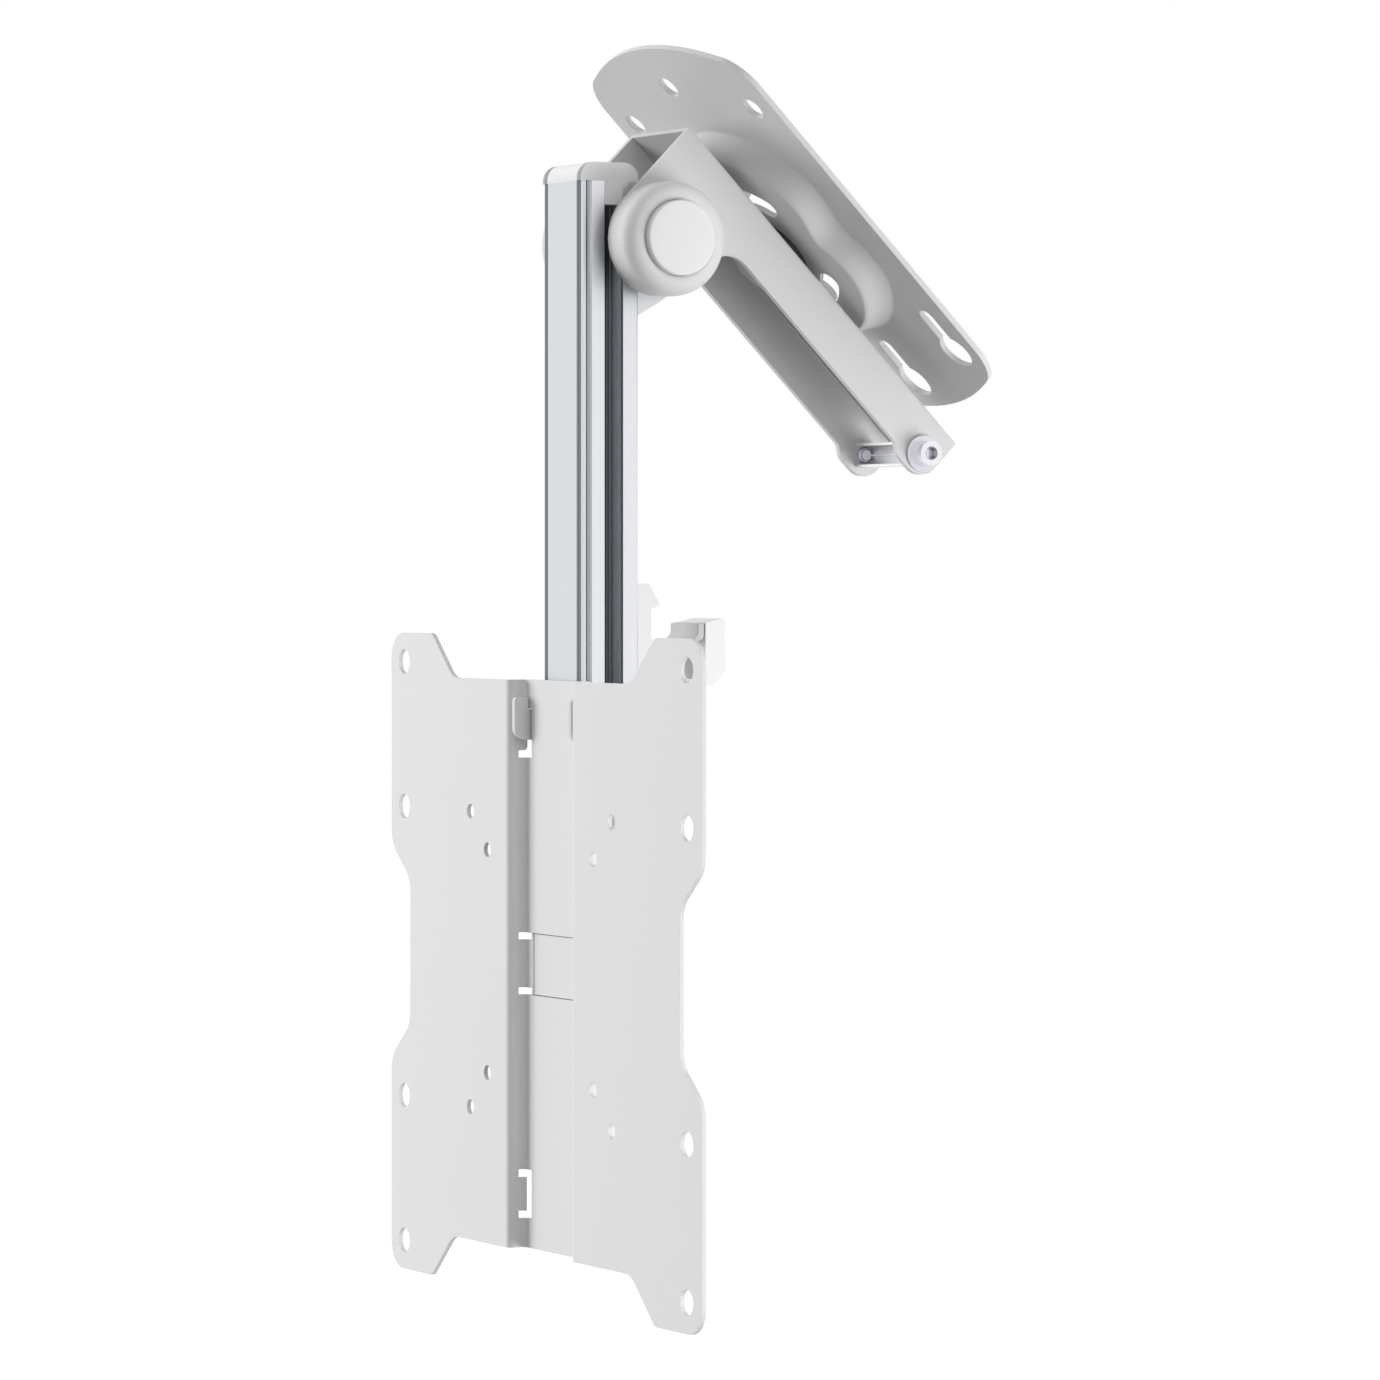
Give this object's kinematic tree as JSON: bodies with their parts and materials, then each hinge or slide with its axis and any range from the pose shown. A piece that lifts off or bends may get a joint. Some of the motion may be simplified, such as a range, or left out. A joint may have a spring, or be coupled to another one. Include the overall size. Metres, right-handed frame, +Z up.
{
  "type": "folding ceiling tv mount",
  "caption": "Folding ceiling mount for a flat television: sloped ceiling plate with a swivel arm, hinged pole, sliding carriage and hook-on screen plate.",
  "frame": {"origin": "in the ceiling plate's mounting face, on the axis of the swivel", "axes": "+Z up, +X along the fold hinge and the width of the screen plate, -Y the way the television faces; the ceiling falls away at 45 degrees towards +Y"},
  "size_m": [0.22, 0.1557, 0.4168],
  "materials": {
    "white_paint": "satin",
    "grey_paint": "satin",
    "white_plastic": "satin",
    "grey_plastic": "matte",
    "dark_plastic": "matte",
    "anodised": "satin anodised",
    "cast_alloy": "satin",
    "zinc": "bright zinc"
  },
  "bodies": {
    "ceiling": {"ceiling_plate": "white_paint", "swivel_bolt": "zinc", "swivel_nut": "zinc"},
    "arm": {"swivel_bush": "dark_plastic", "swivel_disc_spring": "zinc", "stop_screws": "zinc", "stop_nuts": "zinc", "arm_bracket": "white_paint", "catch_bar": "anodised", "bar_inserts": "zinc", "bar_screws": "zinc", "bar_washers": "zinc", "pivot_bolt": "zinc", "pivot_nut": "zinc", "pivot_washers": "zinc", "cover_ring_right": "white_plastic", "cover_ring_left": "white_plastic", "cover_cap_right": "white_plastic", "cover_cap_left": "white_plastic"},
    "pole": {"friction_discs": "dark_plastic", "hinge_block": "cast_alloy", "hinge_screws": "zinc", "hinge_slot_nuts": "zinc", "pole_profile": "anodised", "pole_top_cap": "white_plastic", "pole_bottom_cap": "dark_plastic", "catch_hook": "white_paint", "catch_screws": "zinc"},
    "latch": {"latch_block": "white_plastic", "latch_pad": "grey_plastic"},
    "carriage": {"carriage_channel": "grey_paint", "guide_shoes": "dark_plastic", "clamp_screws": "zinc", "clamp_slot_nuts": "zinc"},
    "screen_plate": {"tv_plate": "white_paint"}
  },
  "joints": [
    {"name": "swivel", "type": "hinge", "parent": "ceiling", "child": "arm", "pos_m": [0, 0, 0], "axis": [0, 0.7071, 0.7071], "range_deg": [-45, 45]},
    {"name": "fold", "type": "hinge", "parent": "arm", "child": "pole", "pos_m": [0, -0.06201, -0.00714], "axis": [1, 0, 0], "range_deg": [-60, 49.2]},
    {"name": "height", "type": "slide", "parent": "pole", "child": "carriage", "axis": [0, 0, 1], "range_m": [-0.06, 0]},
    {"name": "latch", "type": "slide", "parent": "pole", "child": "latch", "axis": [0, 0, 1], "range_m": [0, 0.006]},
    {"name": "lift_off", "type": "slide", "parent": "carriage", "child": "screen_plate", "axis": [0, 0, 1], "range_m": [0, 0.0044]}
  ]
}
